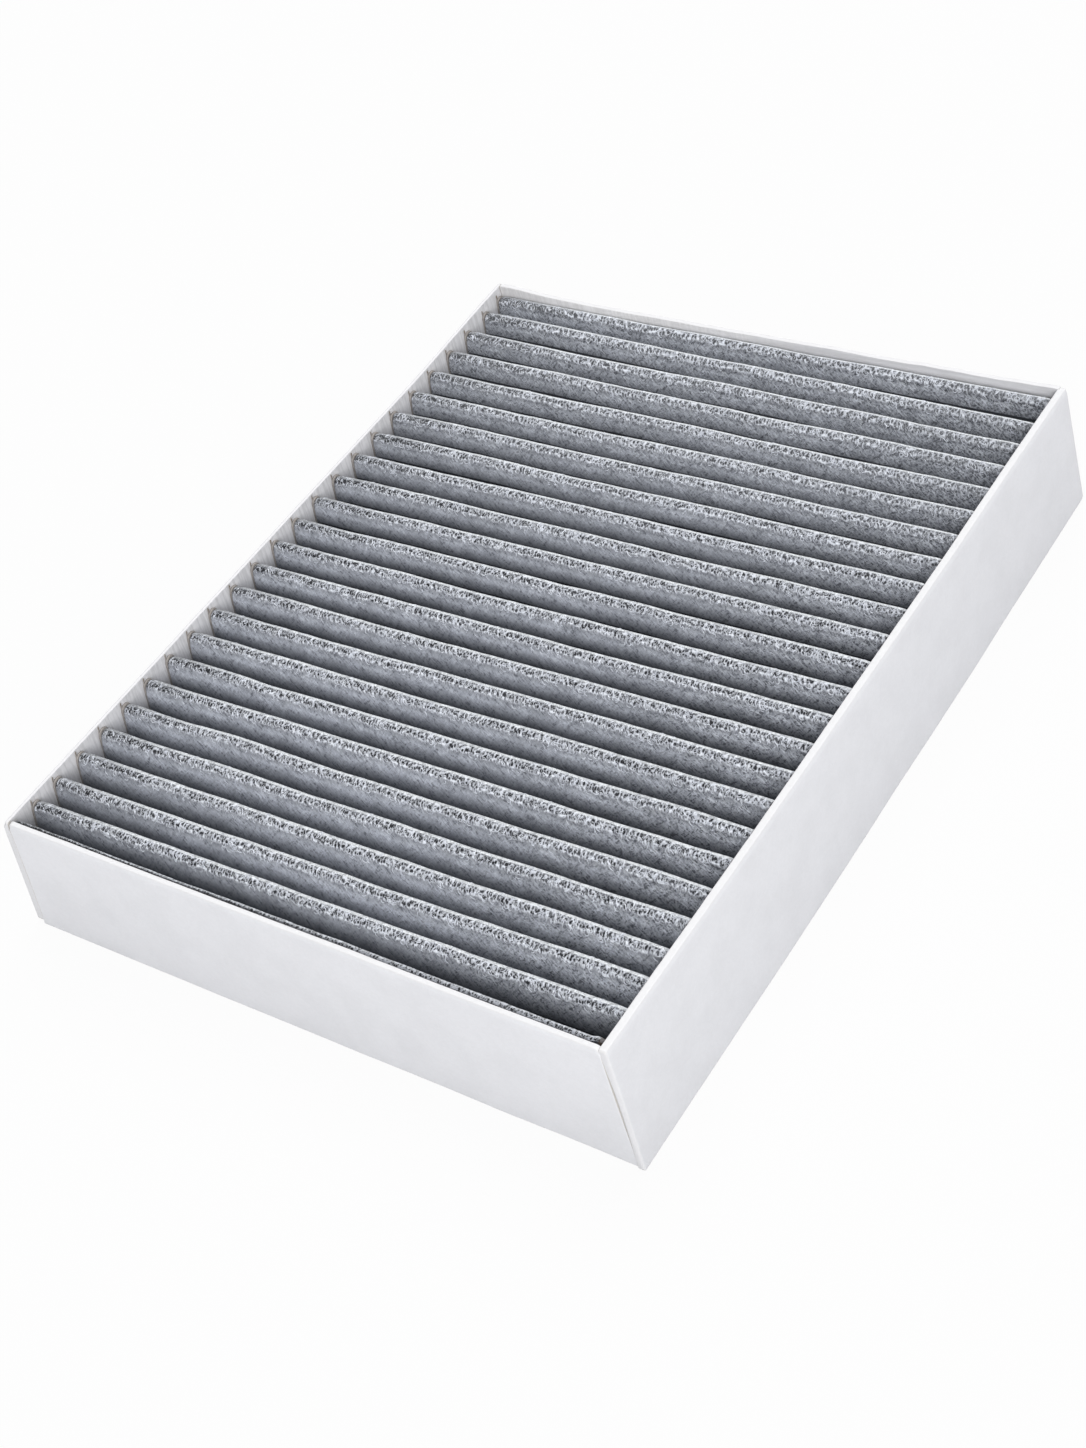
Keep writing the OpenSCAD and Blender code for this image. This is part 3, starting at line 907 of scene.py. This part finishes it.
def medium_faces(path, x):
    """Both faces of the sheet: the path moved half a thickness along its normal, with the
    places across the filter in x. Each crest and valley shifts along the filter and in height
    by noise that runs along the fold and fades with the fold's weight; the flanks arch by a
    skewed half sine; the ends sink a little where they meet the hot melt; the cut edge rises
    and fluffs up towards the right."""
    s = bpy.context.scene.filter_medium
    row = {key: values[:, None] for key, values in path.items()}
    cross, half_width = x[None, :], x[-1]
    inward = half_width - np.abs(cross)
    lane = 37 * MM      # how far apart the noise of two folds is read
    near_end = np.exp(-(inward / (1.6 * MM))**2)
    shift = row["crest"] * double_noise(cross, row["kc"] * lane, 26 * MM, 7 * MM, 0.35, 11)
    shift = shift + (1 - row["crest"]) * smooth_noise(cross, row["kv"] * lane, 30 * MM, 13)
    held = 1 - np.exp(-(inward / (12 * MM))**2)
    tied = np.where((row["kc"] == 0) | (row["kc"] == s.pleats), 0.25, 1.0)
    shift = shift * held * s.wander * tied - fold_shift(row, cross)
    lift = row["crest"] * double_noise(cross, row["kc"] * lane, 19 * MM, 5.5 * MM, 0.4, 21)
    last = row["kc"] == s.pleats
    arch = row["arch"] * (0.7 + 0.6 * smooth_noise(cross, row["s"], 16 * MM, 31))
    arch = arch * s.bulge * np.where(last, 0.0, 1.0)
    drawn_in = s.end_curve * smoothstep(row["z"], MEDIUM_HIGH.z - 5 * MM, MEDIUM_HIGH.z)
    drawn_in = drawn_in * np.exp(-inward / (1.5 * MM)) * np.sign(cross)
    edge = last * smoothstep(row["z"], 25 * MM, MEDIUM_HIGH.z)
    turned = smoothstep(cross, half_width - 2.6 * MM, half_width - 2.0 * MM)
    rise = edge * (s.edge_rise + s.edge_tilt * cross / half_width + 0.2 * MM * turned
                   + 0.1 * MM * smooth_noise(cross, 0.0, 9 * MM, 23))
    skew = edge * (0.45 * MM * turned - 0.1 * MM
                   - s.edge_skew * (cross / half_width + 1) / 2)
    fluffed = last * smoothstep(row["z"], 33 * MM, MEDIUM_HIGH.z) \
        * smoothstep(cross, -0.9 * half_width, 0.2 * half_width)
    faces = []
    for side in (1, -1):
        half = s.thickness / 2 * (1 - 0.12 * near_end)
        half = half + 0.05 * MM * smooth_noise(cross, row["s"], 3.5 * MM, 41 + side)
        out = side * half * (1 + s.edge_fluff * fluffed) + arch
        u = row["u"] + row["nu"] * out + shift - skew
        z = row["z"] + row["nz"] * out + lift * s.lift \
            - row["crest"] * near_end * s.end_dip + rise
        y = np.clip(INNER_Y - u, -INNER_Y + 0.05 * MM, INNER_Y - 0.1 * MM)
        faces.append(np.stack([cross - drawn_in, y, z], 2))
    return faces


def cut_edge(faces, cross):
    """A rounded cap of a few rows between the ends of both faces: half an ellipse over the
    straight way between them, with a little noise."""
    t = CAP[:, None]
    cap = faces[0][-1] * (1 - t[..., None]) + faces[1][-1] * t[..., None]
    cap[..., 2] += 0.22 * MM * np.sqrt(np.clip(4 * t * (1 - t), 0, 1)) \
        + 0.06 * MM * smooth_noise(cross, t * 40 * MM, 1.6 * MM, 47)
    cap[..., 2] = np.minimum(cap[..., 2], RIM_Z - 0.1 * MM)
    return cap


def sheet_strips(rows, columns):
    """The quads and fans that close the sheet along its ends, its first edge and the cap."""
    count = rows * columns
    line, across = np.arange(rows) * columns, np.arange(columns)
    strips = []
    for first, turned in ((line, True), (line + columns - 1, False), (across, False)):
        a, b = first[:-1], first[1:]
        strip = np.stack([a, b, b + count, a + count], 1)
        strips.append(strip[:, ::-1] if turned else strip)
    edge_rows = np.concatenate([[across + (rows - 1) * columns],
                                2 * count + np.arange(len(CAP))[:, None] * columns + across,
                                [across + count + (rows - 1) * columns]])
    strips.append(edge_rows.ravel()[quads(len(edge_rows), columns)][:, ::-1])
    for column in (0, -1):
        ring = edge_rows[:, column]
        fan = np.stack([np.full(len(CAP), ring[0]), ring[1:-1], ring[2:]], 1)
        strips.append(fan if column else fan[:, ::-1])
    return strips


def medium_mesh():
    """The sheet as a closed mesh, with its flat places as the UV map and, as attributes, its
    depths below the folds and their shares of the depth at which the painted shade turns
    black. Returns the mesh, its flat length and width, and what curl_mesh needs: the path,
    the columns' places, the upper face and the lengths at the crests."""
    s = bpy.context.scene.filter_medium
    path, crests, valleys = fold_path()
    half_width = INNER_X - s.glue_gap
    edge = np.array([0, 0.5, 1.2, 2.2, 3.6]) * MM
    x = np.concatenate([edge, np.linspace(5.5 * MM, 2 * half_width - 5.5 * MM, s.columns - 9),
                        2 * half_width - edge[::-1]]) - half_width
    faces = medium_faces(path, x)
    cap = cut_edge(faces, x[None, :])
    rows, columns = faces[0].shape[:2]
    flat = [np.stack(np.broadcast_arrays(x[None, :], at), 2).reshape(-1, 2)
            for at in (path["s"][:, None], path["s"][-1] + CAP[:, None] * s.thickness)]
    crest, behind_crest = from_folds(path["s"], np.append(crests, path["s"][-1]))
    valley, behind_valley = from_folds(path["s"], valleys)
    share_back = np.clip(path["u"] / (2 * INNER_Y), 0, 1)
    # The depth at which the painted shade turns black: shallower towards the rear and on the last
    # falling flank.
    black = s.black_shade_rear + (s.black_shade_front - s.black_shade_rear) * share_back**1.65
    black = black * np.where((path["s"] > crests[-1]) & (path["s"] < valleys[-1]), 0.8, 1.0)
    cap_fold = np.array([0.3, 0.5, 0.5, 0.5]) * MM
    cap_behind = np.array([0.1, 0.04, -1.0, -1.0]) * MM
    marks = {"from_fold": (crest, valley, cap_fold),
             "shade_share": (crest / black, valley / black, cap_fold),
             "behind_fold": (behind_crest, behind_valley, cap_behind)}
    marks = {key: np.repeat(np.concatenate(parts), columns) for key, parts in marks.items()}
    points = np.concatenate([part.reshape(-1, 3) for part in (*faces, cap)])
    grid = quads(rows, columns)
    mesh = make_mesh("pleated_sheet", stand(points),
                     [grid[:, ::-1], grid + rows * columns, *sheet_strips(rows, columns)],
                     np.concatenate([flat[0], flat[0], flat[1]]), marks)
    return mesh, path["s"][-1], 2 * half_width, (path, x, faces[0], crests)


def curl_mesh(sheet):
    """Short bent fibres that lie on the sheet along the crests, as low three-sided ridges.
    Each starts at a place drawn at random, more often where a slow noise is high, and its
    heading in the plane of the flat sheet turns evenly; its stations are then looked up on
    the folded sheet's upper face, straight between the four grid points round each."""
    s = bpy.context.scene.filter_medium
    path, x, face, crests = sheet
    draw = np.random.default_rng(7)
    reach = x[-1]
    many = 3 * s.curls
    across = draw.uniform(-reach + 1 * MM, reach - 1.2 * MM, many)
    beyond = draw.uniform(0.35 * MM, 2.7 * MM, many)
    along = crests[draw.integers(0, len(crests), many)] + beyond
    ragged = 0.6 * MM * smooth_noise(across, along, 4 * MM, 101)
    wanted = 0.5 + 0.25 * smooth_noise(across, along, 1.5 * MM, 102)
    wanted = wanted * smoothstep(beyond + ragged, 2.0 * MM, 1.5 * MM)
    kept = np.flatnonzero(draw.uniform(0, 0.95, many) < wanted)[:s.curls]
    across, along = across[kept], along[kept]
    count = len(kept)
    stations = 5
    length = draw.uniform(0.9 * MM, 2.0 * MM, (count, 1))
    share_done = np.linspace(0, 1, stations)[None, :]
    heading = draw.uniform(0, 2 * math.pi, (count, 1)) + draw.choice([-1, 1], (count, 1)) \
        * draw.uniform(0.8, 3.4, (count, 1)) * share_done
    step = length / (stations - 1)
    across = across[:, None] + np.cumsum(np.cos(heading) * step, 1)
    along = along[:, None] + np.cumsum(np.sin(heading) * step, 1)
    across = np.clip(across, -reach + 0.4 * MM, reach - 0.4 * MM)
    row = np.clip(np.interp(along, path["s"], np.arange(len(path["s"]))), 0, len(face) - 1.001)
    column = np.clip(np.interp(across, x, np.arange(len(x))), 0, len(x) - 1.001)
    i, j = row.astype(int), column.astype(int)
    a, b = (row - i)[..., None], (column - j)[..., None]
    middle = (face[i, j] * (1 - a) * (1 - b) + face[i + 1, j] * a * (1 - b)
              + face[i, j + 1] * (1 - a) * b + face[i + 1, j + 1] * a * b)
    nu, nz = np.interp(along, path["s"], path["nu"]), np.interp(along, path["s"], path["nz"])
    size_of = np.hypot(nu, nz)
    nu, nz = nu / size_of, nz / size_of
    up = np.stack([0 * nu, -nu, nz], 2)
    down_sheet = np.stack([0 * nu, -nz, -nu], 2)
    sideways = np.cos(heading)[..., None] * down_sheet
    sideways[..., 0] -= np.sin(heading)
    taper = (0.35 + 0.65 * np.sin(math.pi * np.clip(share_done, 0.08, 0.92)))[..., None]
    breadth = s.curl_width * taper * draw.uniform(0.7, 1.25, (count, 1, 1))
    foot = middle - 0.03 * MM * up
    rings = np.stack([foot + breadth * sideways, middle + s.curl_height * taper * up,
                      foot - breadth * sideways], 2)
    pale = draw.uniform(0, 1, (count, 1, 1)) + np.zeros(rings.shape[:3])
    return tubes("crest_curls", stand(rings), {"pale": pale})


# Hot melt


def bead_rings(side):
    """The bead at the pleat ends of one side: the sheet's line swept by a low D-shaped
    section that lies against the band. It is broader on the upper side, where it fades over
    the crests, and its width varies by noise along the line."""
    s = bpy.context.scene.filter_glue
    medium = bpy.context.scene.filter_medium
    path = fold_path()[0]
    turn = np.radians(np.linspace(0, 180, 7))[None, :]
    half = medium.thickness / 2
    over = path["nz"] > 0.35
    falling = (path["nu"] > 0) & ~over
    broad = np.where(falling, 1.0, np.where(over, np.clip(path["nu"], 0.15, 1), 0.35))
    broad = broad * (1 + 0.3 * smooth_noise(path["s"], 0.0, 5 * MM, 51 + side))
    above = (half + s.bead * broad)[:, None]
    out = np.concatenate([above * np.cos(turn) * (np.cos(turn) > 0)
                          + (half + 0.1 * MM) * np.cos(turn) * (np.cos(turn) <= 0),
                          0 * above - half - 0.1 * MM, above], 1)
    deep = np.concatenate([-0.5 * np.sin(turn), [[1.0, 1.0]]], 1)
    shifted = path["u"] - fold_shift(path, side * INNER_X)
    u = shifted[:, None] + path["nu"][:, None] * out
    z = path["z"][:, None] + path["nz"][:, None] * out
    x = side * (INNER_X - s.depth + s.depth * deep + 0 * u)
    y = np.clip(INNER_Y - u, -INNER_Y, INNER_Y)
    return stand(np.stack([x, y, z], 2))[None]


def tail_rings(side):
    """The tails of one side, one for each crest: a low ridge on the band from the front
    shoulder of the crest up to the rim, half an ellipse that grows from nothing at both ends
    by a quarter sine and widens towards the rim. Also returns how burnt each point is."""
    s = bpy.context.scene.filter_glue
    medium = bpy.context.scene.filter_medium
    draw = np.random.default_rng(57 + side)
    path, crests = fold_path()[:2]
    shifted = path["u"] - fold_shift(path, side * INNER_X)
    crest_u = np.interp(crests, path["s"], shifted)[:, None, None]
    t = np.linspace(0, 1, 12)[None, :, None]
    turn = np.radians(np.linspace(0, 360, 9)[:-1])[None, None, :]
    jitter = draw.uniform(-1, 1, (3, medium.pleats, 1, 1))
    swell = np.sin(np.clip(np.minimum(t, 1 - t) * 5, 0, 1) * math.pi / 2) + 0.03
    width = s.tail_width * (1 + 0.3 * jitter[0]) * swell * (0.75 + 0.45 * t)
    u = crest_u + (1.7 - 0.7 * t) * MM + 0.25 * MM * jitter[1] * t + width / 2 * np.cos(turn)
    foot_z, rise = 36.2 * MM, (3.45 + 0.2 * jitter[2]) * MM
    z = foot_z + t * rise + 0 * turn
    x = side * (INNER_X - 0.32 * MM * swell * np.sin(turn) + 0 * u)
    x = np.where(np.sin(turn) < 0, side * (INNER_X + 0.05 * MM), x)
    y = np.clip(INNER_Y - u, -INNER_Y, INNER_Y)
    return stand(np.stack([x, y, z + 0 * x], 3)), smoothstep(t, 0.55, 0.95) + 0 * x


# Operators


class FILTER_OT_add_studio(Operator):
    """Adds the pale floor, the soft lamps and the camera"""
    bl_idname = "filter.add_studio"
    bl_label = "Add studio"

    def execute(self, context):
        s = context.scene.filter_studio
        context.scene.view_settings.view_transform = "Standard"
        self.add_camera(context, s)
        self.add_world(context, s)
        self.add_floor(context)
        self.add_lamp(context, "key_lamp", s.key, 2.2, (1.78, -2.01, 1.55))
        self.add_lamp(context, "top_lamp", s.top, 2.2, (-0.5, 1.2, 2.5))
        return {"FINISHED"}

    def add_camera(self, context, s):
        """The camera looks from place to aim and is then turned about its line of sight."""
        data = bpy.data.cameras.new("camera")
        data.sensor_width = 36.0
        data.lens = s.focal_px * data.sensor_width / max(PHOTO_SIZE)
        data.clip_start = 0.01
        camera = bpy.data.objects.new("camera", data)
        context.scene.collection.objects.link(camera)
        place, aim = Vector(s.place), Vector(s.aim)
        level = (aim - place).to_track_quat("-Z", "Y").to_matrix().to_4x4()
        camera.matrix_world = Matrix.Translation(place) @ level @ Matrix.Rotation(s.roll, 4, "Z")
        context.scene.camera = camera

    def add_world(self, context, s):
        """The background node's own pale grey to the camera and to mirrors and glass, and a
        plain level of light to all else."""
        context.scene.world = bpy.data.worlds.new("studio")
        w = Shade(context.scene.world)
        rays = w("ShaderNodeLightPath").outputs
        seen = w.larger(rays["Is Camera Ray"], w.larger(rays["Is Glossy Ray"],
                                                        rays["Is Transmission Ray"]))
        level = w.ramp(seen, 0.0, 1.0, s.ambient, 1.0, "LINEAR")
        light = w("ShaderNodeBackground", {"Strength": level})
        w("ShaderNodeOutputWorld", {"Surface": light.outputs[0]})

    def add_floor(self, context):
        """A wide round floor that shows white and keeps a soft shadow: for the camera 0.94 of
        it is its own white and the rest the light that falls on it."""
        turn = np.radians(np.arange(0, 360, 5))
        rim = np.stack([6 * np.cos(turn), 6 * np.sin(turn), 0 * turn], 1)
        mesh = bpy.data.meshes.new("floor")
        mesh.from_pydata(rim.tolist(), [], [list(range(len(rim)))])
        floor = bpy.data.objects.new("floor", mesh)
        context.scene.collection.objects.link(floor)
        m = shade("floor")
        own = m.times(m("ShaderNodeLightPath").outputs["Is Camera Ray"], 0.94)
        matt = m("ShaderNodeBsdfDiffuse", {"Color": (0.64, 0.64, 0.65, 1)})
        white = m("ShaderNodeEmission", {"Color": (1, 1, 1, 1), "Strength": 1.0})
        both = m("ShaderNodeMixShader", {0: own, 1: matt.outputs[0], 2: white.outputs[0]})
        m("ShaderNodeOutputMaterial", {"Surface": both.outputs[0]})
        mesh.materials.append(m.owner)

    def add_lamp(self, context, name, watts, width, place):
        """A square soft lamp that faces the filter."""
        data = bpy.data.lights.new(name, "AREA")
        data.energy = watts
        data.size = width
        lamp = bpy.data.objects.new(name, data)
        context.scene.collection.objects.link(lamp)
        place = Vector(place)
        lamp.matrix_world = Matrix.Translation(place) @ \
            (-place).to_track_quat("-Z", "Y").to_matrix().to_4x4()


class FILTER_OT_add_bands(Operator):
    """Adds the four nonwoven bands of the frame"""
    bl_idname = "filter.add_bands"
    bl_label = "Add bands"

    def execute(self, context):
        white = nonwoven_material()
        s = context.scene.filter_frame
        meshes = {"left_side_band": side_band("left_band", -1, 61, s.lower_corner),
                  "right_side_band": side_band("right_band", 1, 71, s.near_corner),
                  "front_end_band": end_band("front_band", -1, 81),
                  "rear_end_band": end_band("rear_band", 1, 91, s.rear_wave)}
        for node, mesh in meshes.items():
            add_piece(mesh, white, "nonwoven_band", node)
        return {"FINISHED"}


class FILTER_OT_add_medium(Operator):
    """Adds the folded sheet of filter medium"""
    bl_idname = "filter.add_medium"
    bl_label = "Add medium"

    def execute(self, context):
        mesh, length, width, folded = medium_mesh()
        sheet = add_piece(mesh, medium_material(), "carbon_medium", "pleated_medium")
        curls = add_piece(curl_mesh(folded), curl_material(), "carbon_medium")
        return {"FINISHED"}


class FILTER_OT_add_hot_melt(Operator):
    """Adds the hot melt beads and strips"""
    bl_idname = "filter.add_hot_melt"
    bl_label = "Add hot melt"

    def execute(self, context):
        melt = hot_melt_material()
        for side, name in ((-1, "left"), (1, "right")):
            bead = bead_rings(side)
            node = name + "_pleat_glue"
            mesh = tubes(name + "_bead", bead, {"burnt": 0 * bead[..., 0]})
            add_piece(mesh, melt, "hot_melt", node)
            tails, burnt = tail_rings(side)
            add_piece(tubes(name + "_tails", tails, {"burnt": burnt}), melt, "hot_melt", node)
        for node in ("front_glue_strip", "rear_glue_strip"):
            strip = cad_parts[node]
            strip.data.materials.clear()
            strip.data.materials.append(melt)
        return {"FINISHED"}


class FILTER_PT_filter(Panel):
    """Lists the steps and the sizes"""
    bl_idname = "FILTER_PT_filter"
    bl_label = "Cabin air filter"
    bl_space_type = "VIEW_3D"
    bl_region_type = "UI"
    bl_category = "Filter"

    def draw(self, context):
        for step in STEPS:
            self.layout.operator(step.bl_idname)
        for group in GROUPS:
            settings = getattr(context.scene, group)
            box = self.layout.box()
            for key in settings.__annotations__:
                box.prop(settings, key)


STEPS = (FILTER_OT_add_studio, FILTER_OT_add_bands, FILTER_OT_add_medium,
         FILTER_OT_add_hot_melt)
GROUPS = {"filter_frame": FilterFrameSettings, "filter_medium": FilterMediumSettings,
          "filter_glue": FilterGlueSettings, "filter_studio": FilterStudioSettings}


def register():
    for group in GROUPS.values():
        bpy.utils.register_class(group)
    for name, group in GROUPS.items():
        setattr(bpy.types.Scene, name, PointerProperty(type=group))
    for step in STEPS:
        bpy.utils.register_class(step)
    bpy.utils.register_class(FILTER_PT_filter)


def unregister():
    bpy.utils.unregister_class(FILTER_PT_filter)
    for step in reversed(STEPS):
        bpy.utils.unregister_class(step)
    for name, group in GROUPS.items():
        delattr(bpy.types.Scene, name)
        bpy.utils.unregister_class(group)


def main():
    register()
    bpy.ops.filter.add_studio()
    bpy.ops.filter.add_bands()
    bpy.ops.filter.add_medium()
    bpy.ops.filter.add_hot_melt()


if __name__ == "__main__":
    main()
